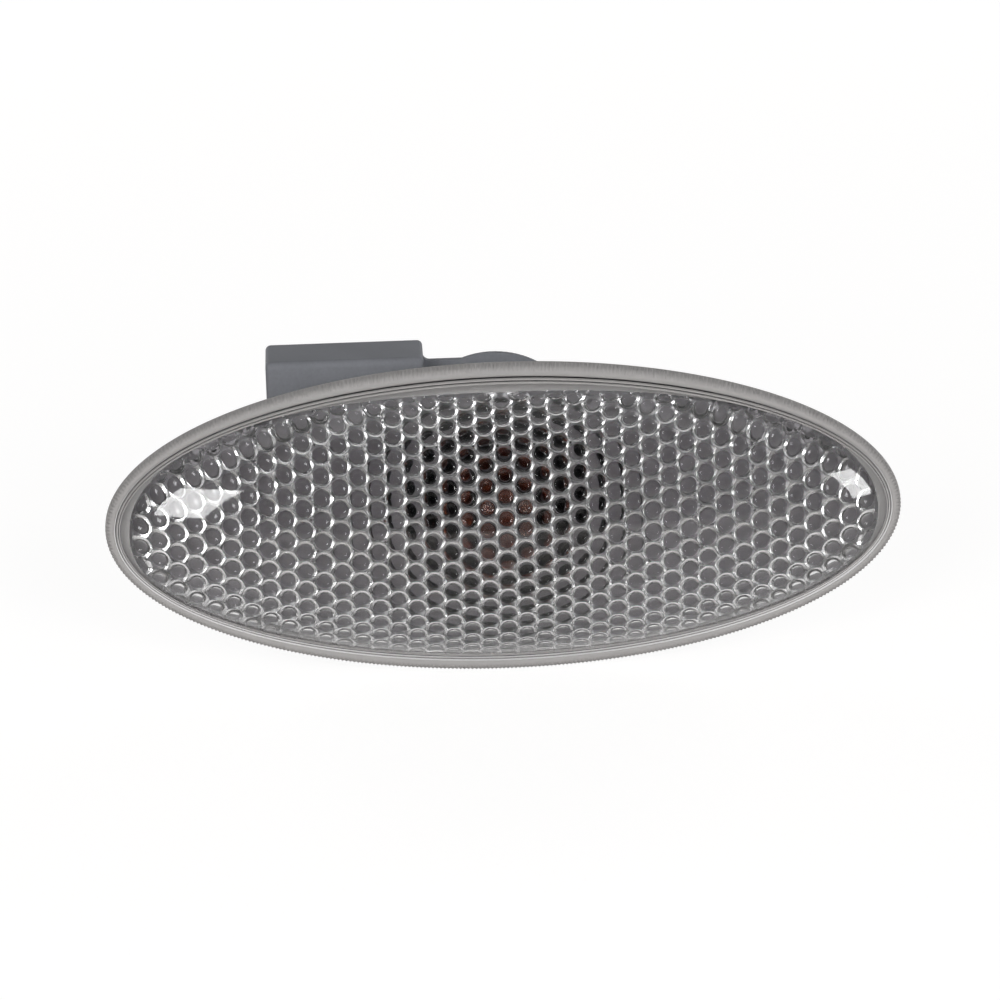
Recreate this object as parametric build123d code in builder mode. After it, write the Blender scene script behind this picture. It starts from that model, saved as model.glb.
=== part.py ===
from build123d import *
import os
from math import sin, radians, sqrt

os.makedirs("parts", exist_ok=True)

# The lamp stands as it does on the side of a car: X along the lamp, Y into the car, Z up.
# Y = 0 is the outer face of the body panel and the origin is on the axis of the bulb.

# Clearances
running_gap = 0.3
seat_gap = 0.4

# Rim of the lens and the layers behind it, from the panel forwards
rim_half_length = 50.0
rim_half_height = 20.1
gasket_thickness = 1.0
flange_thickness = 1.6
flange_inset = 1.0
rim_y = -gasket_thickness - flange_thickness
bead_height = 1.9
bead_round = 1.0
ledge_inset = 1.45
ledge_height = 2.15

# Dome of the lens, a body turned about the long axis of the lamp
dome_radius = 18.6
dome_half_length = 50.7
dome_axis_y = rim_y + 3.3
lens_wall = 1.4
valley_radius = dome_radius - lens_wall
valley_half_length = dome_half_length - lens_wall

# Pillow cells on the inside of the lens
column_pitch = 2.26
row_angle = 8.7
pattern_half_length = 46.5
pattern_half_height = 16.25
pillow_rise = 0.9
valley_rise = 0.1
pillow_root = 0.5
spare_length = 1.0
spare_height = 0.5

# Tray, bulb chamber and neck of the housing
floor_half_length = 47.7
floor_half_height = 16.3
floor_y = rim_y - 0.8
dish_half_length = 38.0
dish_half_height = 14.0
dish_floor_radius = 12.0
dish_floor_y = 3.0
dish_wall = 1.4
chamber_radius = 10.9
chamber_straight_y = dish_floor_y + dish_wall
chamber_wall = 1.5
bayonet_y = 8.9
bayonet_thickness = 1.8
bayonet_bore = 9.2
chamber_rear_radius = 11.2
neck_bore = 10.2
neck_wall = 1.5
neck_rear_y = 15.0

# Collar through the panel, with the hook and the spring post at its ends
collar_half_length = 45.2
collar_half_height = 17.2
collar_wall = 1.4
collar_depth = 5.0
collar_end_gap = 5.6
rib_thickness = 1.4
rib_depth = 3.5
cross_rib_x = 28.0
cross_rib_height = 25.8
gasket_outer_half_length = 48.7
gasket_outer_half_height = 18.8
gasket_inner_half_length = 46.8
gasket_inner_half_height = 17.6
panel_grip_y = 1.3
hook_x = 41.6
hook_reach_x = 46.0
hook_nose = 0.9
hook_thickness = 2.2
hook_rear_y = 7.5
hook_width = 5.2
post_width = 6.8
post_outer_x = -42.0
post_inner_x = -40.6
post_rear_y = 6.5
clip_thickness = 0.5
clip_width = 5.2
clip_reach_x = -45.6
clip_bend_y = 5.3
clip_knee_y = 2.9
clip_tip_x = -44.0
clip_tip_y = 0.3

# Reflector bowl
bowl_mouth_radius = 9.9
bowl_flange_radius = 11.5
bowl_flange_thickness = 0.5
bowl_rear_radius = 5.8
bowl_rear_y = 6.2
bowl_wall = 0.7

# Bulb with a flat wedge base
bulb_radius = 5.0
bulb_glass = 0.7
bulb_tip_y = -8.0
bulb_round_end_y = 9.2
wedge_width = 9.5
wedge_thickness = 2.1
wedge_end_y = 18.6
wedge_round = 0.6
wedge_root = 0.8
bulb_neck_radius = 3.6
bulb_shoulder = 4.0
filament_y = -1.5
filament_radius = 0.3
lead_radius = 0.2
lead_spread = 2.5
lead_front_spread = 1.75
lead_fold = 7.5

# Bulb holder, a quarter turn plug with the wiring socket on its side
barrel_radius = 8.9
barrel_front_y = 7.5
lug_radius = 10.3
lug_thickness = 1.1
lug_width = 3.6
lug_turn = 40.0
seal_groove_radius = 8.0
seal_groove_y = 12.0
seal_groove_width = 2.2
seal_section = 1.75
holder_flange_radius = 12.6
holder_flange_thickness = 1.5
holder_body_radius = 10.2
grip_count = 9
grip_start = 190.0
grip_range = 210.0
grip_radius = 1.3
grip_depth = 0.6
end_plate_radius = 11.7
end_plate_thickness = 1.0
holder_edge_round = 0.4
holder_rear_y = 30.9
pocket_half_height = 1.5
pocket_end_y = 19.4
socket_left_x = -29.5
socket_right_x = -9.1
socket_bottom_z = 2.4
socket_top_z = 13.7
socket_corner_round = 0.9
socket_front_y = 21.7
socket_wall = 1.2
socket_floor_x = -13.0
socket_edge_round = 0.9
socket_end_round = 0.7
web_top_z = 9.9
end_plate_web_top_z = 10.9

# Contact strips, moulded into the holder
strip_thickness = 0.6
strip_width = 2.2
blade_thickness = 0.8
blade_width = 2.4
blade_z = 7.9
blade_tip_x = -25.0
upper_blade_y = 27.3
lower_blade_y = 24.5


def wall_plane(y):
    # A plane across the lamp at depth y: sketch x runs along X, sketch y runs up, normal faces out.
    return Plane(origin=(0, y, 0), x_dir=(1, 0, 0), z_dir=(0, -1, 0))


def valley_depth(x, z):
    # How far the smooth inside of the dome stands in front of the dome axis.
    return sqrt(max(valley_radius ** 2 * (1 - (x / valley_half_length) ** 2) - z ** 2, 0.4))


def raised_point(x, z, rise):
    # A point of the dome's inside, moved towards the bulb by rise along the surface normal.
    depth = valley_depth(x, z)
    slope_x = x * (valley_radius / valley_half_length) ** 2
    length = sqrt(slope_x ** 2 + depth ** 2 + z ** 2)
    scale = rise / length
    return Vector(x - slope_x * scale, dome_axis_y - depth + depth * scale, z - z * scale)


def row_height(angle):
    return valley_radius * sin(radians(max(min(angle, 88.0), -88.0)))


def cell_corners(x, angle, rise):
    # The six corners of one cell, which it shares with the cells round it.
    wide = column_pitch * 2 / 3
    tall = row_angle / 2
    spots = [(wide, 0), (wide / 2, tall), (-wide / 2, tall), (-wide, 0), (-wide / 2, -tall), (wide / 2, -tall)]
    return [raised_point(x + dx, row_height(angle + da), rise) for dx, da in spots]


def facet(*points):
    return Face(Wire.make_polygon(points, close=True))


def in_pattern(column, half_row):
    # Cells whose middle lies inside the oval, with one more ring that the oval later trims.
    x = column * column_pitch
    z = row_height(half_row * row_angle / 2)
    fits = valley_radius ** 2 * (1 - (x / valley_half_length) ** 2) - z ** 2 > 2.0
    return fits and (x / (pattern_half_length + spare_length)) ** 2 + (z / (pattern_half_height + spare_height)) ** 2 < 1


def pillow_facets(column, half_row):
    # One cell: six facets up to its crown, a root inside the wall and walls where no cell is next to it.
    x = column * column_pitch
    angle = half_row * row_angle / 2
    border = cell_corners(x, angle, valley_rise)
    root = cell_corners(x, angle, -pillow_root)
    crown = raised_point(x, row_height(angle), pillow_rise)
    sides = [(1, 1), (0, 2), (-1, 1), (-1, -1), (0, -2), (1, -1)]
    found = [facet(root[0], root[k + 1], root[k]) for k in range(1, 5)]
    for i in range(6):
        j = (i + 1) % 6
        found.append(facet(crown, border[i], border[j]))
        if not in_pattern(column + sides[i][0], half_row + sides[i][1]):
            found.append(facet(border[i], root[i], root[j]))
            found.append(facet(border[i], root[j], border[j]))
    return found


# Pillow cells: a faceted sheet of hexagons in straight columns, trimmed to the oval of the lens
pillow_faces = []
for column in range(-22, 23):
    for step in range(-11, 12):
        half_row = 2 * step + (column + 1) % 2
        if in_pattern(column, half_row):
            pillow_faces.extend(pillow_facets(column, half_row))
pillow_sheet = Solid(Shell(pillow_faces))

with BuildPart() as pillows:
    add(pillow_sheet)
    with BuildSketch(wall_plane(rim_y)):
        Ellipse(pattern_half_length, pattern_half_height)
    extrude(amount=dome_radius, mode=Mode.INTERSECT, clean=False)

# Lens: the beaded rim, the ledge inside it and the dome, hollowed to an even wall and lined with the cells
with BuildPart() as lens:
    with BuildSketch(wall_plane(rim_y)):
        Ellipse(rim_half_length, rim_half_height)
    extrude(amount=bead_height)
    fillet(lens.edges().group_by(Axis.Y)[0], bead_round)
    with BuildSketch(wall_plane(rim_y)):
        Ellipse(rim_half_length - ledge_inset, rim_half_height - ledge_inset)
    extrude(amount=ledge_height)
    with BuildSketch(Plane.XY):
        with Locations((0, dome_axis_y)):
            Ellipse(dome_half_length, dome_radius)
        with Locations((0, dome_axis_y + dome_radius)):
            Rectangle(4 * dome_half_length, 2 * dome_radius, mode=Mode.SUBTRACT)
    revolve(axis=Axis((0, dome_axis_y, 0), (1, 0, 0)))
    with BuildSketch(wall_plane(rim_y)):
        Rectangle(4 * dome_half_length, 4 * dome_radius)
    extrude(amount=-2 * dome_radius, mode=Mode.SUBTRACT)
    with BuildSketch(Plane.XY):
        with Locations((0, dome_axis_y)):
            Ellipse(valley_half_length, valley_radius)
        with Locations((0, dome_axis_y + dome_radius)):
            Rectangle(4 * dome_half_length, 2 * dome_radius, mode=Mode.SUBTRACT)
    revolve(axis=Axis((0, dome_axis_y, 0), (1, 0, 0)), mode=Mode.SUBTRACT)
    add(pillows.part, clean=False)
lens.part.label = "lens"
export_step(lens.part, "parts/lens.step")

# Housing: the flange, the tray dished down to the chamber round the bulb axis, the collar, ribs, hook and post
with BuildPart() as housing:
    with BuildSketch(wall_plane(-gasket_thickness)):
        Ellipse(rim_half_length - flange_inset, rim_half_height - flange_inset)
    extrude(amount=flange_thickness)
    with BuildSketch(wall_plane(rim_y)):
        Ellipse(floor_half_length, floor_half_height)
    extrude(amount=rim_y - floor_y)
    with BuildSketch(wall_plane(-gasket_thickness)):
        Ellipse(collar_half_length, collar_half_height)
        Ellipse(collar_half_length - collar_wall, collar_half_height - collar_wall, mode=Mode.SUBTRACT)
        Rectangle(4 * collar_half_length, 2 * collar_end_gap, mode=Mode.SUBTRACT)
    extrude(amount=-gasket_thickness - collar_depth)
    with BuildSketch(wall_plane(-gasket_thickness)):
        with Locations((chamber_radius / 2 + hook_x / 2, 0)):
            Rectangle(hook_x - chamber_radius, rib_thickness)
        with Locations((-chamber_radius / 2 + post_inner_x / 2 + clip_width / 4, 0)):
            Rectangle(-post_inner_x - chamber_radius - clip_width / 2, rib_thickness)
        with Locations((cross_rib_x, 0), (-cross_rib_x, 0)):
            Rectangle(rib_thickness, cross_rib_height)
    extrude(amount=-gasket_thickness - rib_depth)
    with BuildSketch(Plane.XY):
        with BuildLine():
            Polyline(
                (0, -gasket_thickness),
                (chamber_radius + chamber_wall, -gasket_thickness),
                (chamber_radius + chamber_wall, chamber_straight_y),
                (chamber_rear_radius + chamber_wall, bayonet_y),
                (chamber_rear_radius + chamber_wall, bayonet_y + bayonet_thickness),
                (neck_bore + neck_wall, bayonet_y + bayonet_thickness),
                (neck_bore + neck_wall, neck_rear_y),
                (0, neck_rear_y),
                close=True,
            )
        make_face()
    revolve(axis=Axis.Y)
    with BuildSketch(wall_plane(-gasket_thickness)):
        Ellipse(dish_half_length + dish_wall, dish_half_height + dish_wall)
    with BuildSketch(wall_plane(dish_floor_y + dish_wall)):
        Circle(dish_floor_radius + dish_wall)
    loft()
    with BuildSketch(wall_plane(floor_y)):
        Ellipse(dish_half_length, dish_half_height)
    with BuildSketch(wall_plane(dish_floor_y)):
        Circle(dish_floor_radius)
    loft(mode=Mode.SUBTRACT)
    with BuildSketch(Plane.XY):
        with BuildLine():
            Polyline(
                (0, floor_y - 1),
                (chamber_radius, floor_y - 1),
                (chamber_radius, chamber_straight_y),
                (chamber_rear_radius, bayonet_y),
                (bayonet_bore, bayonet_y),
                (bayonet_bore, bayonet_y + bayonet_thickness),
                (neck_bore, bayonet_y + bayonet_thickness),
                (neck_bore, neck_rear_y + 1),
                (0, neck_rear_y + 1),
                close=True,
            )
        make_face()
    revolve(axis=Axis.Y, mode=Mode.SUBTRACT)
    with BuildSketch(wall_plane(bayonet_y + bayonet_thickness)):
        with PolarLocations(bayonet_bore, 3, start_angle=90 - lug_turn):
            Rectangle(2 * (lug_radius + running_gap - bayonet_bore), lug_width + 2 * running_gap)
    extrude(amount=bayonet_thickness, mode=Mode.SUBTRACT)
    with BuildSketch(Plane.XY):
        with BuildLine():
            Polyline(
                (hook_x - hook_thickness / 2, -gasket_thickness),
                (hook_x + hook_thickness / 2, -gasket_thickness),
                (hook_x + hook_thickness / 2, panel_grip_y),
                (hook_reach_x, panel_grip_y),
                (hook_reach_x, panel_grip_y + hook_nose),
                (hook_x + hook_thickness / 2, hook_rear_y),
                (hook_x - hook_thickness / 2, hook_rear_y),
                close=True,
            )
        make_face()
    extrude(amount=hook_width / 2, both=True)
    with BuildSketch(Plane.XY):
        with Locations(((post_outer_x + post_inner_x) / 2, (post_rear_y - gasket_thickness) / 2)):
            Rectangle(post_inner_x - post_outer_x, post_rear_y + gasket_thickness)
    extrude(amount=post_width / 2, both=True)
housing.part.label = "housing"
export_step(housing.part, "parts/housing.step")

# Reflector: a thin bowl turned about the bulb axis, its flange resting at the bottom of the dish
bowl_y = dish_floor_y - bowl_flange_thickness
bowl_middle_radius = 0.6 * bowl_mouth_radius + 0.52 * bowl_rear_radius
bowl_middle_y = 0.42 * bowl_y + 0.58 * bowl_rear_y
with BuildPart() as reflector:
    with BuildSketch(Plane.XY):
        with BuildLine():
            ThreePointArc((bowl_mouth_radius, bowl_y), (bowl_middle_radius, bowl_middle_y), (bowl_rear_radius, bowl_rear_y))
            Line((bowl_rear_radius, bowl_rear_y), (bowl_rear_radius, bowl_rear_y + bowl_wall))
            ThreePointArc(
                (bowl_rear_radius, bowl_rear_y + bowl_wall),
                (bowl_middle_radius + 0.7 * bowl_wall, bowl_middle_y + 0.7 * bowl_wall),
                (chamber_radius - running_gap, dish_floor_y),
            )
            Polyline(
                (chamber_radius - running_gap, dish_floor_y),
                (bowl_flange_radius, dish_floor_y),
                (bowl_flange_radius, bowl_y),
                (bowl_mouth_radius, bowl_y),
            )
        make_face()
    revolve(axis=Axis.Y)
reflector.part.label = "reflector"
export_step(reflector.part, "parts/reflector.step")

# Panel gasket: an oval foam ring on the back of the flange
with BuildPart() as panel_gasket:
    with BuildSketch(wall_plane(0)):
        Ellipse(gasket_outer_half_length, gasket_outer_half_height)
        Ellipse(gasket_inner_half_length, gasket_inner_half_height, mode=Mode.SUBTRACT)
    extrude(amount=gasket_thickness)
panel_gasket.part.label = "panel_gasket"
export_step(panel_gasket.part, "parts/panel_gasket.step")

# Spring clip: a steel strip bent over the post, with a knee that springs out behind the panel
clip_half = clip_thickness / 2
with BuildPart() as spring_clip:
    with BuildSketch(Plane.XY):
        with BuildLine() as clip_path:
            Polyline(
                (post_inner_x + clip_half, panel_grip_y),
                (post_inner_x + clip_half, post_rear_y + clip_half),
                (post_outer_x - clip_half, post_rear_y + clip_half),
                (post_outer_x - clip_half, clip_bend_y),
                (clip_reach_x, clip_knee_y),
                (clip_tip_x, clip_tip_y),
            )
        trace(line_width=clip_thickness)
    extrude(amount=clip_width / 2, both=True)
spring_clip.part.label = "spring_clip"
export_step(spring_clip.part, "parts/spring_clip.step")

# Lead wires of the bulb: from the filament back through the wedge, then folded onto its two faces
fold_z = wedge_thickness / 2 + lead_radius
fold_y = wedge_end_y + lead_radius


def lead_path(side):
    return [
        (side * lead_front_spread, filament_y, 0),
        (side * lead_spread, bulb_round_end_y - bulb_glass, 0),
        (side * lead_spread, fold_y, 0),
        (side * lead_spread, fold_y, -side * fold_z),
        (side * lead_spread, wedge_end_y - lead_fold, -side * fold_z),
    ]


with BuildPart() as bulb_leads:
    for side in (-1, 1):
        spots = lead_path(side)
        for start, end in zip(spots[:-1], spots[1:]):
            run = Vector(*end) - Vector(*start)
            with BuildSketch(Plane(origin=start, z_dir=run)):
                Circle(lead_radius)
            extrude(amount=run.length)
        with Locations(spots[1], spots[2], spots[3]):
            Sphere(lead_radius)
bulb_leads.part.label = "bulb_leads"
export_step(bulb_leads.part, "parts/bulb_leads.step")

# Filament: a slim coil between the front ends of the lead wires, drawn as a rod
with BuildPart() as bulb_filament:
    with BuildSketch(Plane.YZ.offset(-lead_front_spread)):
        with Locations((filament_y - lead_radius - filament_radius, 0)):
            Circle(filament_radius)
    extrude(amount=2 * lead_front_spread)
bulb_filament.part.label = "bulb_filament"
export_step(bulb_filament.part, "parts/bulb_filament.step")

# Bulb glass: a thin round envelope with a solid wedge, pressed round the lead wires
with BuildPart() as bulb:
    with BuildSketch(Plane.XY):
        with BuildLine():
            CenterArc((0, bulb_tip_y + bulb_radius), bulb_radius, -90, 90)
            Line((bulb_radius, bulb_tip_y + bulb_radius), (bulb_radius, bulb_round_end_y - bulb_shoulder))
            Line((bulb_radius, bulb_round_end_y - bulb_shoulder), (bulb_neck_radius, bulb_round_end_y))
            Line((bulb_neck_radius, bulb_round_end_y), (0, bulb_round_end_y))
            Line((0, bulb_round_end_y), (0, bulb_tip_y))
        make_face()
    revolve(axis=Axis.Y)
    with BuildSketch(wall_plane(bulb_round_end_y - wedge_root)):
        RectangleRounded(wedge_width, wedge_thickness, wedge_round)
    extrude(amount=bulb_round_end_y - wedge_root - wedge_end_y)
    with BuildSketch(Plane.XY):
        with BuildLine():
            CenterArc((0, bulb_tip_y + bulb_radius), bulb_radius - bulb_glass, -90, 90)
            Line((bulb_radius - bulb_glass, bulb_tip_y + bulb_radius), (bulb_radius - bulb_glass, bulb_round_end_y - bulb_shoulder))
            Line(
                (bulb_radius - bulb_glass, bulb_round_end_y - bulb_shoulder),
                (bulb_neck_radius - bulb_glass, bulb_round_end_y - bulb_glass),
            )
            Line((bulb_neck_radius - bulb_glass, bulb_round_end_y - bulb_glass), (0, bulb_round_end_y - bulb_glass))
            Line((0, bulb_round_end_y - bulb_glass), (0, bulb_tip_y + bulb_glass))
        make_face()
    revolve(axis=Axis.Y, mode=Mode.SUBTRACT)
    add(bulb_leads.part, mode=Mode.SUBTRACT)
bulb.part.label = "bulb"
export_step(bulb.part, "parts/bulb.step")


def contact_blocks(side, blade_y):
    # One strip as size and centre of its three straight runs: leg on the wedge, riser, blade.
    leg_x = side * lead_spread
    leg_z = -side * (pocket_half_height + strip_thickness / 2)
    leg_front_y = wedge_end_y - lead_fold
    leg_end_y = blade_y + blade_thickness
    blade_right_x = leg_x + strip_width / 2
    low_z = leg_z - strip_thickness / 2
    high_z = blade_z + blade_width / 2
    plate_y = blade_y + blade_thickness / 2
    leg = (strip_width, leg_end_y - leg_front_y, strip_thickness, leg_x, (leg_front_y + leg_end_y) / 2, leg_z)
    riser = (strip_width, blade_thickness, high_z - low_z, leg_x, plate_y, (high_z + low_z) / 2)
    run = blade_right_x - blade_tip_x
    blade = (run, blade_thickness, blade_width, blade_tip_x + run / 2, plate_y, blade_z)
    return [leg, riser, blade]


# Contacts: two strips from the folded wires back and across to the blades in the wiring socket
with BuildPart() as upper_contact:
    for length, depth, height, x, y, z in contact_blocks(-1, upper_blade_y):
        with Locations((x, y, z)):
            Box(length, depth, height)
upper_contact.part.label = "upper_contact"
export_step(upper_contact.part, "parts/upper_contact.step")

with BuildPart() as lower_contact:
    for length, depth, height, x, y, z in contact_blocks(1, lower_blade_y):
        with Locations((x, y, z)):
            Box(length, depth, height)
lower_contact.part.label = "lower_contact"
export_step(lower_contact.part, "parts/lower_contact.step")

# Bulb holder: barrel with three lugs and a seal groove, flange, round body and the wiring socket beside it
holder_flange_y = neck_rear_y + running_gap
end_plate_y = holder_rear_y - end_plate_thickness
socket_depth = holder_rear_y - socket_front_y
socket_height = socket_top_z - socket_bottom_z
socket_middle_y = (holder_rear_y + socket_front_y) / 2
socket_middle_z = (socket_top_z + socket_bottom_z) / 2
with BuildPart() as socket_block:
    with BuildSketch(Plane.YZ.offset(socket_left_x)):
        with Locations((socket_middle_y, socket_middle_z)):
            RectangleRounded(socket_depth, socket_height, socket_edge_round)
    extrude(amount=socket_right_x - socket_left_x)
    fillet(socket_block.edges().group_by(Axis.X)[0] + socket_block.edges().group_by(Axis.X)[-1], socket_end_round)

with BuildPart() as bulb_holder:
    with BuildSketch(Plane.XY):
        with BuildLine():
            Polyline(
                (0, barrel_front_y),
                (barrel_radius, barrel_front_y),
                (barrel_radius, seal_groove_y),
                (seal_groove_radius, seal_groove_y),
                (seal_groove_radius, seal_groove_y + seal_groove_width),
                (barrel_radius, seal_groove_y + seal_groove_width),
                (barrel_radius, holder_flange_y),
                (holder_flange_radius, holder_flange_y),
                (holder_flange_radius, holder_flange_y + holder_flange_thickness),
                (holder_body_radius, holder_flange_y + holder_flange_thickness),
                (holder_body_radius, end_plate_y),
                (end_plate_radius, end_plate_y),
                (end_plate_radius, holder_rear_y),
                (0, holder_rear_y),
                close=True,
            )
        make_face()
    revolve(axis=Axis.Y)
    fillet(bulb_holder.edges().group_by(Axis.Y)[-1], holder_edge_round)
    with BuildSketch(wall_plane(end_plate_y)):
        with PolarLocations(holder_body_radius + grip_radius - grip_depth, grip_count, grip_start, grip_range):
            Circle(grip_radius)
    extrude(amount=end_plate_y - holder_flange_y - holder_flange_thickness, mode=Mode.SUBTRACT)
    with BuildSketch(wall_plane(barrel_front_y + lug_thickness)):
        with PolarLocations(barrel_radius, 3, start_angle=90):
            Rectangle(2 * (lug_radius - barrel_radius), lug_width)
    extrude(amount=lug_thickness)
    with BuildSketch(wall_plane(holder_rear_y)):
        with Locations((socket_floor_x / 2, (web_top_z + socket_bottom_z) / 2)):
            Rectangle(-socket_floor_x, web_top_z - socket_bottom_z)
    extrude(amount=socket_depth)
    with BuildSketch(wall_plane(holder_rear_y)) as end_plate_outline:
        with Locations((socket_floor_x / 2, (end_plate_web_top_z + socket_bottom_z) / 2)):
            Rectangle(-socket_floor_x, end_plate_web_top_z - socket_bottom_z)
        with Locations(((socket_floor_x + socket_right_x) / 2, socket_middle_z)):
            Rectangle(socket_right_x - socket_floor_x, socket_height - 2 * socket_edge_round)
        fillet(
            [corner for corner in end_plate_outline.vertices() if abs(corner.X - socket_right_x) < 0.01],
            socket_corner_round,
        )
    extrude(amount=end_plate_thickness)
    add(socket_block.part)
    with Locations(((socket_left_x + socket_floor_x) / 2, socket_middle_y, socket_middle_z)):
        Box(
            socket_floor_x - socket_left_x,
            socket_depth - 2 * socket_wall,
            socket_height - 2 * socket_wall,
            mode=Mode.SUBTRACT,
        )
    with BuildSketch(wall_plane(barrel_front_y)):
        Circle(bulb_radius + seat_gap)
    extrude(amount=barrel_front_y - bulb_round_end_y - seat_gap, mode=Mode.SUBTRACT)
    with BuildSketch(wall_plane(barrel_front_y)):
        Rectangle(wedge_width + seat_gap, 2 * pocket_half_height)
    extrude(amount=barrel_front_y - pocket_end_y, mode=Mode.SUBTRACT)
    add(upper_contact.part, mode=Mode.SUBTRACT)
    add(lower_contact.part, mode=Mode.SUBTRACT)
bulb_holder.part.label = "bulb_holder"
export_step(bulb_holder.part, "parts/bulb_holder.step")

# Holder seal: a rubber ring in the groove of the barrel
seal_middle_radius = neck_bore - running_gap - seal_section / 2
with BuildPart() as holder_seal:
    with BuildSketch(Plane.XY):
        with Locations((seal_middle_radius, seal_groove_y + seal_groove_width / 2)):
            Circle(seal_section / 2)
    revolve(axis=Axis.Y)
holder_seal.part.label = "holder_seal"
export_step(holder_seal.part, "parts/holder_seal.step")
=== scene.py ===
import math

import bmesh
import bpy
from mathutils import Matrix, Vector


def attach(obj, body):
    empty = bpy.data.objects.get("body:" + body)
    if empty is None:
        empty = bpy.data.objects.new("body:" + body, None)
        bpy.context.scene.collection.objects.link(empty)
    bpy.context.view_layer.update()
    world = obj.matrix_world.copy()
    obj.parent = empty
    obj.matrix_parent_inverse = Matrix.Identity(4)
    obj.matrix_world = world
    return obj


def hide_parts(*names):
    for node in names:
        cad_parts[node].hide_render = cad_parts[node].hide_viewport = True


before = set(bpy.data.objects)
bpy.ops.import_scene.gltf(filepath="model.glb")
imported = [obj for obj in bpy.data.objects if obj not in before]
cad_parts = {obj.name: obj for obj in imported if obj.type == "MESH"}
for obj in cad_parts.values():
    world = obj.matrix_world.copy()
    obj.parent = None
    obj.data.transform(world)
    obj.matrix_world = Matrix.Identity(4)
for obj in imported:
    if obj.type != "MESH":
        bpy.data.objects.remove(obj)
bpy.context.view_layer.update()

mm = 0.001


# Housing: the tray with its flange, bulb chamber, collar, hook and spring post, one grey moulding.
# It is injection moulded in a mid grey plastic whose mould was spark eroded to a fine even grain,
# and the lens is welded to the front of its flange.
def spread(tree, source, from_low, from_high, to_low, to_high):
    # A value carried over from one range to another and held at its ends.
    node = tree.nodes.new("ShaderNodeMapRange")
    node.inputs["From Min"].default_value = from_low
    node.inputs["From Max"].default_value = from_high
    node.inputs["To Min"].default_value = to_low
    node.inputs["To Max"].default_value = to_high
    tree.links.new(source, node.inputs["Value"])
    return node.outputs["Result"]


def combined(tree, operation, first, second):
    # Two values put together by a math node; each is a socket or a plain number.
    node = tree.nodes.new("ShaderNodeMath")
    node.operation = operation
    for socket, value in zip(node.inputs, (first, second)):
        if isinstance(value, float):
            socket.default_value = value
        else:
            tree.links.new(value, socket)
    return node.outputs["Value"]


def noise(tree, place, scale, detail):
    node = tree.nodes.new("ShaderNodeTexNoise")
    node.inputs["Scale"].default_value = scale
    node.inputs["Detail"].default_value = detail
    tree.links.new(place, node.inputs["Vector"])
    return node.outputs["Fac"]


def plastic_grain_group():
    # Fine pits of the mould, with a faint mottle where the plastic flowed.
    group = bpy.data.node_groups.new("moulded_grain", "ShaderNodeTree")
    for socket, way, kind in (
        ("Place", "INPUT", "NodeSocketVector"),
        ("Shade", "INPUT", "NodeSocketColor"),
        ("Grain", "INPUT", "NodeSocketFloat"),
        ("Gloss Rough", "INPUT", "NodeSocketFloat"),
        ("Colour", "OUTPUT", "NodeSocketColor"),
        ("Roughness", "OUTPUT", "NodeSocketFloat"),
        ("Height", "OUTPUT", "NodeSocketFloat"),
    ):
        group.interface.new_socket(socket, in_out=way, socket_type=kind)
    links = group.links
    start = group.nodes.new("NodeGroupInput")
    end = group.nodes.new("NodeGroupOutput")

    pits = group.nodes.new("ShaderNodeTexNoise")
    pits.inputs["Detail"].default_value = 3.0
    pits.inputs["Roughness"].default_value = 0.6
    links.new(start.outputs["Place"], pits.inputs["Vector"])
    links.new(start.outputs["Grain"], pits.inputs["Scale"])
    flow = noise(group, start.outputs["Place"], 70.0, 4.0)
    mottle = spread(group, flow, 0.3, 0.7, 0.90, 1.08)
    speck = spread(group, pits.outputs["Fac"], 0.25, 0.75, 0.93, 1.05)

    tint = group.nodes.new("ShaderNodeVectorMath")
    tint.operation = "SCALE"
    links.new(start.outputs["Shade"], tint.inputs[0])
    links.new(combined(group, "MULTIPLY", mottle, speck), tint.inputs["Scale"])
    links.new(tint.outputs["Vector"], end.inputs["Colour"])

    rough = group.nodes.new("ShaderNodeMath")
    rough.operation = "MULTIPLY_ADD"
    rough.inputs[1].default_value = 0.18
    links.new(pits.outputs["Fac"], rough.inputs[0])
    links.new(start.outputs["Gloss Rough"], rough.inputs[2])
    links.new(rough.outputs["Value"], end.inputs["Roughness"])
    links.new(pits.outputs["Fac"], end.inputs["Height"])
    return group


plastic_grain = plastic_grain_group()


def new_finish(name):
    finish = bpy.data.materials.new(name)
    finish.use_nodes = True
    return finish, finish.node_tree, finish.node_tree.nodes["Principled BSDF"]


def object_place(tree):
    return tree.nodes.new("ShaderNodeTexCoord").outputs["Object"]


def add_bump(tree, skin, height, strength, distance):
    bump = tree.nodes.new("ShaderNodeBump")
    bump.inputs["Strength"].default_value = strength
    bump.inputs["Distance"].default_value = distance
    tree.links.new(height, bump.inputs["Height"])
    tree.links.new(bump.outputs["Normal"], skin.inputs["Normal"])


def moulded_finish(name, shade, grain, gloss_rough, depth, sheen=0.5):
    finish, tree, skin = new_finish(name)
    look = tree.nodes.new("ShaderNodeGroup")
    look.node_tree = plastic_grain
    look.inputs["Shade"].default_value = (*shade, 1.0)
    look.inputs["Grain"].default_value = grain
    look.inputs["Gloss Rough"].default_value = gloss_rough
    tree.links.new(object_place(tree), look.inputs["Place"])
    tree.links.new(look.outputs["Colour"], skin.inputs["Base Color"])
    tree.links.new(look.outputs["Roughness"], skin.inputs["Roughness"])
    add_bump(tree, skin, look.outputs["Height"], 0.35, depth)
    skin.inputs["IOR"].default_value = 1.5
    skin.inputs["Specular IOR Level"].default_value = sheen
    return finish


def dress(node, finish):
    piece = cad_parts[node]
    piece.data.materials.clear()
    piece.data.materials.append(finish)


grey_shade = (0.183, 0.175, 0.184)
dress("housing", moulded_finish("grey_moulding", grey_shade, 3200.0, 0.40, 0.03 * mm, 0.2))


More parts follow.
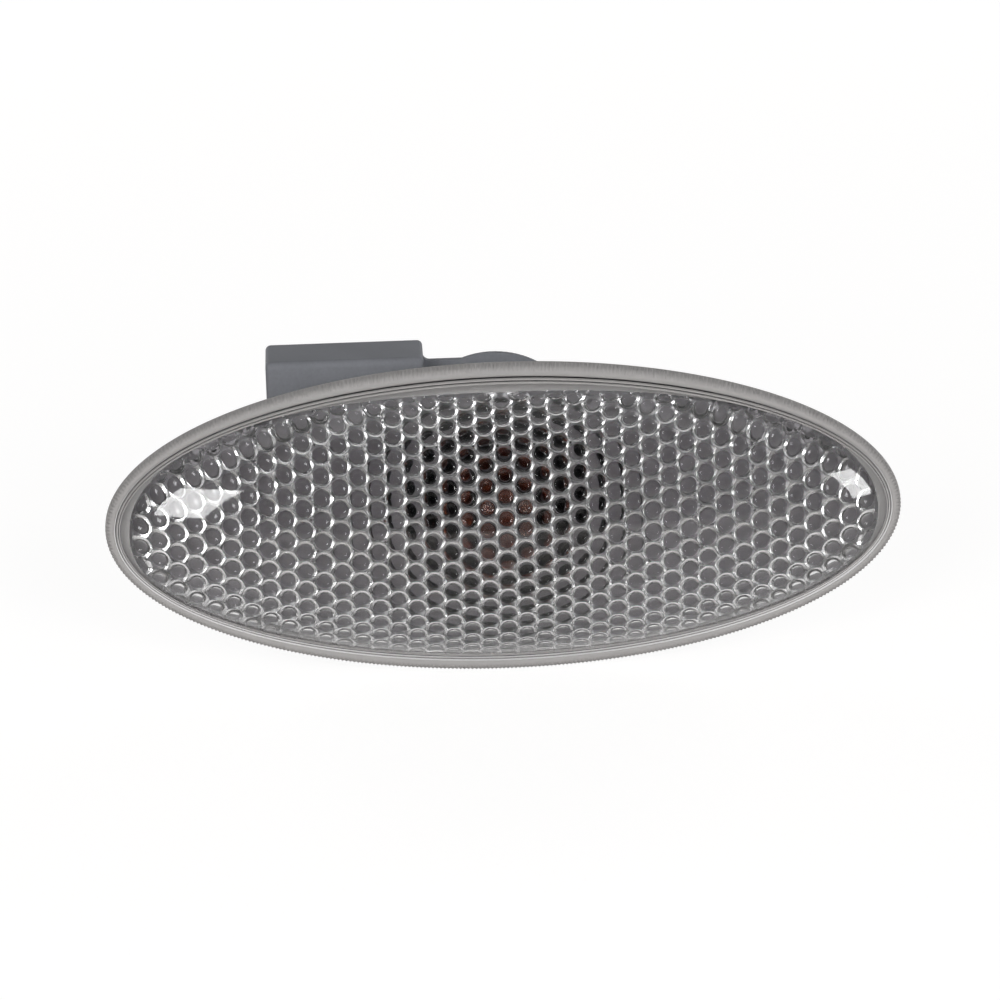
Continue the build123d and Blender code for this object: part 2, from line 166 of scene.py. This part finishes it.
# Reflector: a thin bowl round the bulb, a separate moulding in glossy black plastic.
# It drops into the bulb chamber from the front and its flange lies at the bottom of the dished tray.
black_shade = (0.004, 0.004, 0.0045)
dress("reflector", moulded_finish("black_bowl", black_shade, 900.0, 0.10, 0.01 * mm, 0.06))


# Panel gasket: an oval ring of closed cell foam on the back of the flange, cut from sheet.
# It is stuck on and seals the lamp to the body panel.
foam, tree, skin = new_finish("cell_foam")
foam_cells = tree.nodes.new("ShaderNodeTexVoronoi")
foam_cells.inputs["Scale"].default_value = 2600.0
tree.links.new(object_place(tree), foam_cells.inputs["Vector"])
foam_shade = spread(tree, foam_cells.outputs["Distance"], 0.0, 0.6, 0.012, 0.045)
tree.links.new(foam_shade, skin.inputs["Base Color"])
add_bump(tree, skin, foam_cells.outputs["Distance"], 0.7, 0.12 * mm)
skin.inputs["Roughness"].default_value = 0.9
dress("panel_gasket", foam)


# Spring clip: a strip of spring steel bent over the post at the left end, pressed on from behind.
# Its knee snaps out behind the panel; rolling lines run along the strip.
def drawn_metal(name, shade, low_rough, high_rough, stretch):
    finish, tree, skin = new_finish(name)
    along = tree.nodes.new("ShaderNodeMapping")
    along.inputs["Scale"].default_value = stretch
    tree.links.new(object_place(tree), along.inputs["Vector"])
    lines = noise(tree, along.outputs["Vector"], 900.0, 4.0)
    rough = spread(tree, lines, 0.3, 0.7, low_rough, high_rough)
    tree.links.new(rough, skin.inputs["Roughness"])
    add_bump(tree, skin, lines, 0.25, 0.02 * mm)
    skin.inputs["Base Color"].default_value = (*shade, 1.0)
    skin.inputs["Metallic"].default_value = 1.0
    return finish


spring_steel = drawn_metal("spring_steel", (0.50, 0.50, 0.49), 0.22, 0.42, (0.15, 0.15, 1.0))
dress("spring_clip", spring_steel)


# Bulb: a capless bulb of amber lacquered glass, whose flat wedge base is pinched round two wires.
# The wires run in from the filament and fold back onto the faces of the wedge.
amber, tree, skin = new_finish("amber_lacquer")
lacquer = tree.nodes.new("ShaderNodeMix")
lacquer.data_type = "RGBA"
lacquer.inputs["A"].default_value = (0.21, 0.034, 0.009, 1.0)
lacquer.inputs["B"].default_value = (0.34, 0.070, 0.019, 1.0)
tree.links.new(noise(tree, object_place(tree), 260.0, 3.0), lacquer.inputs["Factor"])
tree.links.new(lacquer.outputs["Result"], skin.inputs["Base Color"])
skin.inputs["Transmission Weight"].default_value = 0.84
skin.inputs["Roughness"].default_value = 0.06
skin.inputs["IOR"].default_value = 1.5


def light_through(tree, skin, shade):
    # Lets a share of the studio light fall through clear plastic or glass onto what is behind it.
    through = tree.nodes.new("ShaderNodeBsdfTransparent")
    through.inputs["Color"].default_value = (*shade, 1.0)
    rays = tree.nodes.new("ShaderNodeLightPath")
    either = tree.nodes.new("ShaderNodeMixShader")
    tree.links.new(rays.outputs["Is Shadow Ray"], either.inputs["Fac"])
    tree.links.new(skin.outputs["BSDF"], either.inputs[1])
    tree.links.new(through.outputs["BSDF"], either.inputs[2])
    tree.links.new(either.outputs["Shader"], tree.nodes["Material Output"].inputs["Surface"])


light_through(tree, skin, (0.70, 0.36, 0.16))
dress("bulb", amber)
tungsten = drawn_metal("tungsten_wire", (0.34, 0.33, 0.32), 0.35, 0.55, (1.0, 1.0, 1.0))
dress("bulb_filament", tungsten)
nickel = drawn_metal("nickel_wire", (0.58, 0.56, 0.52), 0.25, 0.40, (1.0, 0.2, 1.0))
dress("bulb_leads", nickel)


# Contacts: two strips stamped from brass sheet, from the folded wires of the bulb to the socket.
# They are moulded into the bulb holder and grip the wedge of the bulb between them.
brass = drawn_metal("stamped_brass", (0.70, 0.52, 0.24), 0.22, 0.40, (0.15, 1.0, 1.0))
dress("upper_contact", brass)
dress("lower_contact", brass)


# Bulb holder: a quarter turn plug of grey plastic with the wiring socket moulded on its side.
# Three lugs lock it behind the chamber of the housing and a rubber ring seals it.
holder_shade = (0.180, 0.186, 0.202)
dress("bulb_holder", moulded_finish("holder_moulding", holder_shade, 2600.0, 0.40, 0.03 * mm, 0.06))
rubber_shade = (0.018, 0.018, 0.019)
dress("holder_seal", moulded_finish("seal_rubber", rubber_shade, 1500.0, 0.45, 0.02 * mm))


# Lens: one clear acrylic moulding with a ribbed bead round its rim, a smooth dome outside
# and convex hexagonal pillow cells inside, each a small lens that spreads the light of the bulb.
# The bead, the groove and ridge inside it and the dome are built first, then the cells, then the back.
rim_half_length = 50.0 * mm
rim_half_height = 20.1 * mm
rim_y = -2.6 * mm
dome_half_length = 50.3 * mm
dome_radius = 18.6 * mm
dome_axis_y = rim_y + 3.3 * mm
lens_wall = 1.4 * mm
rib_count = 460
rib_depth = 0.17 * mm
pillow_slot, frosted_slot, clear_slot = 0, 1, 2

lens_mesh = bmesh.new()
reach_layer = lens_mesh.verts.layers.float.new("pillow_reach")


def rim_angles(count):
    # Angles of the rim's oval that lie the same distance apart along it.
    steps = 7200
    reach = [0.0]
    for step in range(steps):
        angle = (step + 0.5) * math.tau / steps
        run = math.hypot(rim_half_length * math.sin(angle), rim_half_height * math.cos(angle))
        reach.append(reach[-1] + run)
    found, step = [], 0
    for index in range(count):
        goal = reach[-1] * index / count
        while reach[step + 1] <= goal:
            step += 1
        part = (goal - reach[step]) / (reach[step + 1] - reach[step])
        found.append((step + part) * math.tau / steps)
    return found


rim_ring = bmesh.ops.create_circle(lens_mesh, segments=2 * rib_count, radius=1.0)["verts"]
rim_ring.sort(key=lambda spot: math.atan2(spot.co.y, spot.co.x) % math.tau)
ring_angles = rim_angles(2 * rib_count)


def rim_spot(angle, inset):
    # A point of the rim plane, inset along the normal of the rim's oval.
    run, rise = math.cos(angle), math.sin(angle)
    across = Vector((rim_half_height * run, 0.0, rim_half_length * rise)).normalized()
    edge = Vector((rim_half_length * run, rim_y, rim_half_height * rise))
    return edge - across * inset


foot_height = 2.12 * mm
most_room = 4.0 * mm
foot_share = math.sqrt(1.0 - ((dome_axis_y - rim_y + foot_height) / dome_radius) ** 2)


def foot_room(angle):
    # How far in from the rim the dome starts, along the normal of the rim's oval.
    low, high = 0.0, most_room
    for halving in range(30):
        middle = (low + high) / 2.0
        spot = rim_spot(angle, middle)
        outside = math.hypot(spot.x / dome_half_length, spot.z / dome_radius) > foot_share
        low, high = (middle, high) if outside else (low, middle)
    return low


# Inset and height of each loop of the bead, the groove and the fine ridge, in millimetres,
# with the share of the ribs. The insets are squeezed at the ends, where the dome leaves less room.
bead_profile = [
    (0.10, 0.00, 0.0), (0.00, 0.10, 0.0), (0.00, 0.55, 0.3), (0.00, 0.90, 1.0), (0.08, 1.28, 1.0),
    (0.29, 1.61, 1.0), (0.58, 1.82, 1.0), (0.82, 1.89, 0.5), (1.10, 1.92, 0.0), (1.42, 1.88, 0.0),
    (1.49, 1.72, 0.0), (1.57, 1.66, 0.0), (1.65, 1.74, 0.0), (1.69, 1.98, 0.0), (1.75, 2.09, 0.0),
    (1.82, 2.12, 0.0), (1.90, 2.12, 0.0),
]
groove_start, groove_end = 1.45, 1.67
# Behind the ridge a shallow gutter runs round the foot of the dome: the share of the room up to the dome
# that each of its loops is in, and its depth in millimetres.
gutter_profile = [(0.08, 0.16), (0.25, 0.24), (0.42, 0.16), (0.55, 0.0)]
full_room = 2.29 * mm
ring_rooms = [foot_room(angle) for angle in ring_angles]
squeeze = [min(room / full_room, 1.0) for room in ring_rooms]


def lay_ring(ring, insets, height, ribs, slot):
    # Puts a loop in its place and gives the faces that end at it their material.
    for index, spot in enumerate(ring):
        groove = rib_depth * ribs * (index % 2)
        spot.co = rim_spot(ring_angles[index], insets[index] + groove)
        spot.co.y = rim_y - height
        for face in spot.link_faces:
            face.material_index = slot


def ring_edges(ring):
    return [lens_mesh.edges.get((ring[k - 1], ring[k])) for k in range(len(ring))]


def next_ring(ring):
    grown = bmesh.ops.extrude_edge_only(lens_mesh, edges=ring_edges(ring))["geom"]
    fresh = {item for item in grown if isinstance(item, bmesh.types.BMVert)}
    following = []
    for spot in ring:
        others = (edge.other_vert(spot) for edge in spot.link_edges)
        following.append(next(other for other in others if other in fresh))
    return following


ring = rim_ring
for step, (inset, height, ribs) in enumerate(bead_profile):
    if step:
        before, ring = ring, next_ring(ring)
        for first, second in zip(before, ring):
            lens_mesh.edges.get((first, second)).smooth = not ribs
    slot = clear_slot if groove_start < inset < groove_end else frosted_slot
    lay_ring(ring, [inset * mm * share for share in squeeze], height * mm, ribs, slot)
inner_starts = [bead_profile[-1][0] * mm * share for share in squeeze]
for share, dip in gutter_profile:
    ring = next_ring(ring)
    insets = [start + share * (room - start) for start, room in zip(inner_starts, ring_rooms)]
    lay_ring(ring, insets, foot_height - dip * mm, 0.0, clear_slot if dip else frosted_slot)
rim_faces = set(lens_mesh.faces)
foot_edges = ring_edges(ring)
back_edges = ring_edges(rim_ring)


def cut_behind(geometry, y):
    # Takes away what lies behind a plane and gives the edges of the cut.
    cut = bmesh.ops.bisect_plane(
        lens_mesh, geom=geometry, dist=1e-9,
        plane_co=(0.0, y, 0.0), plane_no=(0.0, 1.0, 0.0), clear_outer=True,
    )
    return [item for item in cut["geom_cut"] if isinstance(item, bmesh.types.BMEdge)]


# The dome is an oval arc turned about the long axis, cut off at its foot.
# A flat ring joins it to the bead.
dome_steps = 160
turn_steps = 92
arc_share = 0.985
arc = []
for step in range(dome_steps + 1):
    angle = math.pi * (step / dome_steps - 0.5) * arc_share
    spot = (dome_half_length * math.sin(angle), dome_axis_y, dome_radius * math.cos(angle))
    arc.append(lens_mesh.verts.new(spot))
arc_edges = [lens_mesh.edges.new((arc[k], arc[k + 1])) for k in range(dome_steps)]
bmesh.ops.spin(
    lens_mesh, geom=arc + arc_edges, cent=(0.0, dome_axis_y, 0.0), axis=(1.0, 0.0, 0.0),
    angle=math.pi, steps=turn_steps, use_merge=False,
)
dome_faces = [face for face in lens_mesh.faces if face not in rim_faces]
dome_spots = {spot for face in dome_faces for spot in face.verts}
dome_lines = {edge for face in dome_faces for edge in face.edges}
dome_edges = cut_behind([*dome_spots, *dome_lines, *dome_faces], rim_y - foot_height)
for face in lens_mesh.faces:
    if face not in rim_faces:
        face.material_index = clear_slot
shelf = bmesh.ops.triangle_fill(
    lens_mesh, use_beauty=True, edges=foot_edges + dome_edges, normal=(0.0, -1.0, 0.0),
)
for item in shelf["geom"]:
    if isinstance(item, bmesh.types.BMFace):
        item.material_index = frosted_slot
for edge in dome_edges + foot_edges:
    edge.smooth = False

# The inside is a lattice of triangles, six to a cell side, whose lines follow the borders of the cells.
# The cells end at an oval line; outside it the inside is smooth and frosted.
column_pitch = 2.26 * mm
row_angle = math.radians(8.7)
cell_corner = column_pitch * 2.0 / 3.0
cell_radius = 1.49 * mm
flat_reach = 1.00 * mm
flat_share = 0.4
steep_reach = 1.30 * mm
cell_parts = 6
pattern_half_length = 46.5 * mm
pattern_half_height = 16.25 * mm
pattern_fullness = 2.16
line_reach = 0.13 * mm
cell_margin = 0.12 * mm
same_reach = 1e-3 * mm
valley_half_length = dome_half_length - lens_wall
valley_radius = dome_radius - lens_wall
least_depth = 1.9 * mm
lattice_reach = math.radians(86.0)
lattice_columns = 2 * round(valley_half_length * cell_parts / cell_corner) + 4
lattice_rows = 2 * round(lattice_reach * 2.0 * cell_parts / row_angle)
arc_scale = cell_corner * math.sqrt(0.75) / (row_angle / 2.0)

# How far the cap of a cell has dropped, at each step out from its middle.
drop_step = 0.01 * mm
drops = [0.0]
while len(drops) * drop_step < cell_corner + drop_step:
    reach = min((len(drops) - 0.5) * drop_step, steep_reach)
    flatness = flat_share + (1.0 - flat_share) * min(reach / flat_reach, 1.0) ** 2
    slope = flatness * reach / math.sqrt(cell_radius ** 2 - reach ** 2)
    drops.append(drops[-1] + drop_step * slope)


def pillow_height(reach):
    # A cap, flatter in its middle and straight where it gets steep.
    # It is level with the smooth inside at the corners of the cell.
    def drop(distance):
        step = int(distance / drop_step)
        part = distance / drop_step - step
        return drops[step] * (1.0 - part) + drops[step + 1] * part

    return drop(cell_corner) - drop(min(reach, cell_corner))


def nearest_cells(x, angle):
    # The cells whose middles are nearest: one inside a cell, two on a border, three at a corner.
    half_angle = row_angle / 2.0
    found = []
    column = round(x / column_pitch)
    for near in (column - 1, column, column + 1):
        odd = (near + 1) % 2
        half_row = 2 * round((angle / half_angle - odd) / 2.0) + odd
        for other in (half_row - 2, half_row, half_row + 2):
            reach = math.hypot(x - near * column_pitch, (angle - other * half_angle) * arc_scale)
            found.append((reach, (near, other)))
    found.sort()
    return found[0][0], {cell for reach, cell in found if reach < found[0][0] + same_reach}


grid = bmesh.ops.create_grid(
    lens_mesh, x_segments=lattice_columns, y_segments=lattice_rows, size=1.0,
)["verts"]
cells_at, on_oval, outside = {}, set(), []
for spot in grid:
    column = round(spot.co.x * lattice_columns / 2.0)
    row = round(spot.co.y * lattice_rows / 2.0)
    x = (column + 0.5 * (row % 2)) * cell_corner / cell_parts
    angle = row * row_angle / (2.0 * cell_parts)
    z = valley_radius * math.sin(angle)
    along, across = abs(x) / pattern_half_length, abs(z) / pattern_half_height
    oval = (along ** pattern_fullness + across ** pattern_fullness) ** (1.0 / pattern_fullness)
    oval = max(oval, 1e-6)
    slope = math.hypot(
        (along / oval) ** (pattern_fullness - 1.0) / pattern_half_length,
        (across / oval) ** (pattern_fullness - 1.0) / pattern_half_height,
    )
    away = (oval - 1.0) / max(slope, 1e-6)
    reach, cells = nearest_cells(x, angle)
    if abs(away) < line_reach:
        x, z = x / oval, z / oval
        on_oval.add(spot)
    rise = pillow_height(reach) if away < -cell_margin else 0.0
    cells_at[spot] = cells if rise else set()
    spot[reach_layer] = reach if rise else cell_corner * (spot in on_oval)
    room = valley_radius ** 2 * (1.0 - (x / valley_half_length) ** 2) - z ** 2
    if room < least_depth ** 2:
        outside.append(spot)
        continue
    depth = math.sqrt(room)
    lean = Vector((x * (valley_radius / valley_half_length) ** 2, -depth, z)).normalized()
    spot.co = Vector((x, dome_axis_y - depth, z)) - lean * rise
bmesh.ops.delete(lens_mesh, geom=outside, context="VERTS")
inside_spots = [spot for spot in grid if spot.is_valid]
inside_faces = list({face for spot in inside_spots for face in spot.link_faces})
bmesh.ops.triangulate(lens_mesh, faces=inside_faces, quad_method="SHORT_EDGE", ngon_method="BEAUTY")
inside_lines = {edge for spot in inside_spots for edge in spot.link_edges}
for edge in inside_lines:
    first, second = edge.verts
    border = len(cells_at[first] & cells_at[second]) > 1
    edge.smooth = not (border or (first in on_oval and second in on_oval))
inside_faces = {face for spot in inside_spots for face in spot.link_faces}
for face in inside_faces:
    face.material_index = pillow_slot if any(cells_at[spot] for spot in face.verts) else frosted_slot
mouth_edges = cut_behind([*inside_spots, *inside_lines, *inside_faces], rim_y)

# A flat back joins the inside to the bead and closes the moulding.
bmesh.ops.triangle_fill(
    lens_mesh, use_beauty=True, edges=back_edges + mouth_edges, normal=(0.0, 1.0, 0.0),
)
for edge in mouth_edges + back_edges:
    edge.smooth = False
for face in lens_mesh.faces:
    face.smooth = True
bmesh.ops.recalc_face_normals(lens_mesh, faces=lens_mesh.faces)

lens_data = bpy.data.meshes.new("clear_lens")
lens_mesh.to_mesh(lens_data)
lens_mesh.free()
clear_lens = bpy.data.objects.new("clear_lens", lens_data)
bpy.context.collection.objects.link(clear_lens)
flank_start, flank_end = 0.92 * mm, 1.16 * mm
flank_rough = 0.29


def clear_acrylic(name, shade, through_share, ior, low_rough, high_rough, passing):
    # Polished plastic with a faint haze, duller on the steep flanks of the cells, which are not polished.
    finish, tree, skin = new_finish(name)
    skin.inputs["Base Color"].default_value = (*shade, 1.0)
    skin.inputs["Transmission Weight"].default_value = through_share
    skin.inputs["IOR"].default_value = ior
    haze = noise(tree, object_place(tree), 150.0, 3.0)
    rough = spread(tree, haze, 0.4, 0.75, low_rough, high_rough)
    flank = tree.nodes.new("ShaderNodeAttribute")
    flank.attribute_name = "pillow_reach"
    dull = spread(tree, flank.outputs["Fac"], flank_start, flank_end, 0.0, flank_rough)
    tree.links.new(combined(tree, "MAXIMUM", rough, dull), skin.inputs["Roughness"])
    light_through(tree, skin, (passing, passing, passing))
    return finish


for finish in (
    clear_acrylic("pillow_acrylic", (0.83, 0.812, 0.828), 1.0, 1.49, 0.03, 0.07, 0.15),
    clear_acrylic("frosted_acrylic", (0.290, 0.281, 0.277), 0.06, 1.25, 0.55, 0.65, 0.02),
    clear_acrylic("clear_acrylic", (0.96, 0.965, 0.97), 1.0, 1.49, 0.03, 0.09, 0.90),
):
    lens_data.materials.append(finish)
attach(clear_lens, "lamp")
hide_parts("lens")


# Camera: a long lens in front of the lamp and a little above it, as in the photograph.
# It is rolled slightly, so that the right end of the lamp is up.
elevation = math.radians(18.0)
swing = math.radians(-1.5)
roll = math.radians(1.63)
aim = Vector((0.0, rim_y, 0.0))
camera_distance = 750.0 * mm
pixels_per_mm = 7.957
image_width = 1000.0
film_width = 36.0
level_reach = math.cos(elevation)
back = Vector((math.sin(swing) * level_reach, -math.cos(swing) * level_reach, math.sin(elevation)))
right = Vector((math.cos(swing), math.sin(swing), 0.0))
up = back.cross(right)
lens_tube = bpy.data.cameras.new("studio_camera")
lens_tube.sensor_width = film_width
lens_tube.lens = film_width * camera_distance / (image_width / pixels_per_mm * mm)
lens_tube.shift_x = -0.0035
lens_tube.shift_y = 0.0148
lens_tube.clip_start = 0.01
camera = bpy.data.objects.new("studio_camera", lens_tube)
stand = Matrix((right, up, back)).transposed().to_4x4()
station = Matrix.Translation(aim + back * camera_distance)
camera.matrix_world = station @ stand @ Matrix.Rotation(-roll, 4, "Z")
bpy.context.collection.objects.link(camera)
bpy.context.scene.camera = camera


# Floor: a plain pale sheet that the lowest point of the rim touches.
# It glows white where it is the background: for the camera, and behind the lamp for mirrored rays too.
floor_half = 4.0
glow_most = 0.72
rear_start = -60.0 * mm
rear_most = 0.7
floor_mesh = bmesh.new()
bmesh.ops.create_grid(floor_mesh, x_segments=1, y_segments=1, size=floor_half)
bmesh.ops.translate(floor_mesh, verts=floor_mesh.verts, vec=(0.0, 0.0, -rim_half_height))
floor_data = bpy.data.meshes.new("floor_sheet")
floor_mesh.to_mesh(floor_data)
floor_mesh.free()
floor = bpy.data.objects.new("floor_sheet", floor_data)
bpy.context.collection.objects.link(floor)


def mirrored_rays(tree):
    # One for rays that come by way of a mirroring or clear surface.
    rays = tree.nodes.new("ShaderNodeLightPath")
    return combined(tree, "MAXIMUM", rays.outputs["Is Glossy Ray"], rays.outputs["Is Transmission Ray"])


def and_camera_rays(tree, others):
    rays = tree.nodes.new("ShaderNodeLightPath")
    return combined(tree, "MAXIMUM", rays.outputs["Is Camera Ray"], others)


paper, tree, skin = new_finish("white_sheet")
skin.inputs["Base Color"].default_value = (0.56, 0.54, 0.525, 1.0)
skin.inputs["Roughness"].default_value = 0.9
glow = tree.nodes.new("ShaderNodeEmission")
glow.inputs["Strength"].default_value = 1.24
sides = tree.nodes.new("ShaderNodeSeparateXYZ")
tree.links.new(object_place(tree), sides.inputs["Vector"])
rear = spread(tree, sides.outputs["Y"], rear_start, 0.0, 0.0, rear_most)
rear_mirrored = combined(tree, "MULTIPLY", rear, mirrored_rays(tree))
glow_share = combined(tree, "MULTIPLY", and_camera_rays(tree, rear_mirrored), glow_most)
lit = tree.nodes.new("ShaderNodeMixShader")
tree.links.new(glow_share, lit.inputs["Fac"])
tree.links.new(skin.outputs["BSDF"], lit.inputs[1])
tree.links.new(glow.outputs["Emission"], lit.inputs[2])
tree.links.new(lit.outputs["Shader"], tree.nodes["Material Output"].inputs["Surface"])
floor_data.materials.append(paper)


# Light: a grey room, dark in front above the camera, white behind and over the lamp where it is seen;
# two front and two rear lights give the shades and two smaller bright boxes only show as reflections.
room = bpy.data.worlds.new("studio_room")
room.use_nodes = True
bpy.context.scene.world = room
tree = room.node_tree
sky = tree.nodes.new("ShaderNodeTexCoord")


def patch(rise_deg, wide_deg, narrow_deg, outer, inner):
    # A round patch of the room's wall, at a height above the front horizon, whose edge is soft
    # from the wide to the narrow angle.
    rise = math.radians(rise_deg)
    facing = tree.nodes.new("ShaderNodeVectorMath")
    facing.operation = "DOT_PRODUCT"
    facing.inputs[1].default_value = (0.0, -math.cos(rise), math.sin(rise))
    tree.links.new(sky.outputs["Generated"], facing.inputs[0])
    wide, narrow = math.cos(math.radians(wide_deg)), math.cos(math.radians(narrow_deg))
    return spread(tree, facing.outputs["Value"], wide, narrow, outer, inner)


seen = and_camera_rays(tree, mirrored_rays(tree))
wall = tree.nodes["Background"]
tree.links.new(patch(35.0, 46.0, 27.0, 0.21, 0.005), wall.inputs["Color"])
room_level = 0.36
tree.links.new(spread(tree, seen, 0.0, 1.0, room_level, 1.0), wall.inputs["Strength"])
backdrop = tree.nodes.new("ShaderNodeBackground")
backdrop.inputs["Strength"].default_value = 1.0
backdrop.inputs["Color"].default_value = (1.0, 1.0, 1.0, 1.0)
behind = patch(180.0, 92.0, 80.0, 0.0, 0.7)
overhead = patch(125.0, 46.0, 36.0, 0.0, 0.6)
white_part = combined(tree, "MULTIPLY", combined(tree, "MAXIMUM", behind, overhead), seen)
either = tree.nodes.new("ShaderNodeMixShader")
tree.links.new(white_part, either.inputs["Fac"])
tree.links.new(wall.outputs["Background"], either.inputs[1])
tree.links.new(backdrop.outputs["Background"], either.inputs[2])
tree.links.new(either.outputs["Shader"], tree.nodes["World Output"].inputs["Surface"])


box_height = 0.36


def soft_box(name, swing_deg, rise_deg, distance, width, power):
    # A light panel that faces the lamp, so far to its side and above it in degrees.
    turn, rise = math.radians(swing_deg), math.radians(rise_deg)
    away = Vector((math.sin(turn) * math.cos(rise), -math.cos(turn) * math.cos(rise), math.sin(rise)))
    panel = bpy.data.lights.new(name, "AREA")
    panel.shape = "RECTANGLE"
    panel.size = width
    panel.size_y = box_height
    panel.energy = power
    box = bpy.data.objects.new(name, panel)
    box.location = aim + away * distance
    box.rotation_mode = "QUATERNION"
    box.rotation_quaternion = (-away).to_track_quat("-Z", "Y")
    bpy.context.collection.objects.link(box)
    return box


shading_distance, shading_width = 0.9, 0.36
mirrored_distance, watts_per_width = 0.8, 15.0
for name, swing_deg, rise_deg, power in (
    ("left_front", -22.0, 20.0, 5.3), ("right_front", 22.0, 20.0, 5.3),
    ("left_rear", -145.0, 9.0, 4.5), ("right_rear", 145.0, 9.0, 4.5),
):
    box = soft_box(name, swing_deg, rise_deg, shading_distance, shading_width, power)
    box.visible_glossy = False
    box.visible_transmission = False
for name, swing_deg, rise_deg, width in (
    ("left_box", -60.0, 24.0, 0.32), ("right_box", 78.0, 14.5, 0.22),
):
    box = soft_box(name, swing_deg, rise_deg, mirrored_distance, width, watts_per_width * width)
    box.visible_diffuse = False

bpy.context.scene.view_settings.view_transform = "Standard"
